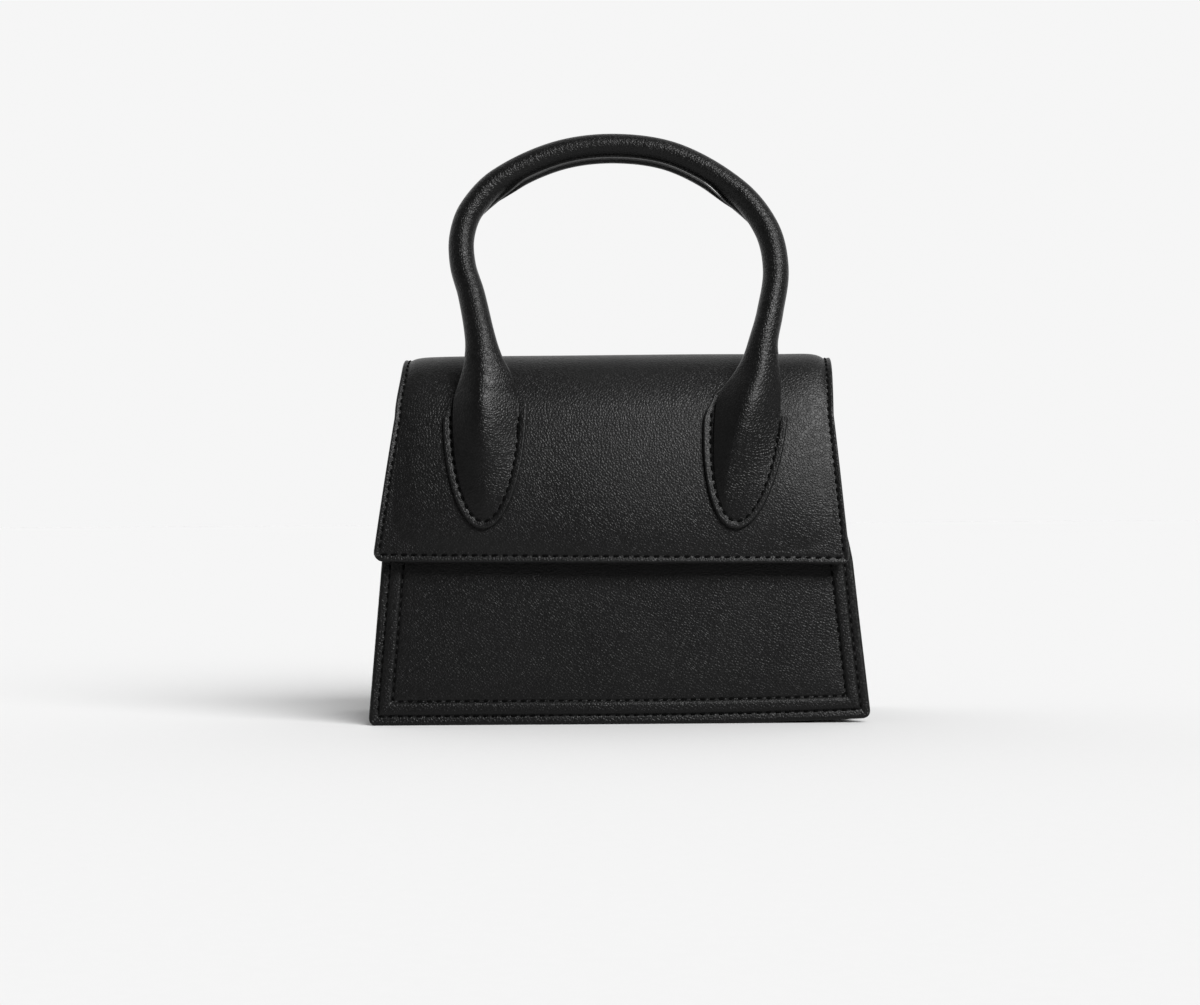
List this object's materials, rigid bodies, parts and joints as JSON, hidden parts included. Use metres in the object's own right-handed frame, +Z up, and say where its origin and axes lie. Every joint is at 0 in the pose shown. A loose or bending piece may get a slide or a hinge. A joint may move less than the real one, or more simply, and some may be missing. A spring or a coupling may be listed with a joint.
{
  "type": "mini purse",
  "caption": "Small structured leather handbag: tapered box body, flap folded over the front, and one rolled top handle with padded, sewn-on ends.",
  "frame": {"origin": "on the floor, under the middle of the bag's overall box, handle included", "axes": "+Z up, +X to the bag's right as seen from the front, and the front with the flap faces -Y"},
  "size_m": [0.181, 0.0768, 0.2188],
  "materials": {
    "body_leather": "black, fine grain, satin",
    "gusset_leather": "black, fine grain, satin",
    "flap_leather": "black, fine grain, satin",
    "handle_leather": "black, fine grain, satin",
    "snap_metal": "plated steel"
  },
  "bodies": {
    "root": {"front_panel": "body_leather", "back_panel": "body_leather", "gusset_left": "gusset_leather", "gusset_right": "gusset_leather", "base_panel": "gusset_leather", "flap": "flap_leather", "handle": "handle_leather", "magnetic_snap": "snap_metal"}
  },
  "joints": []
}
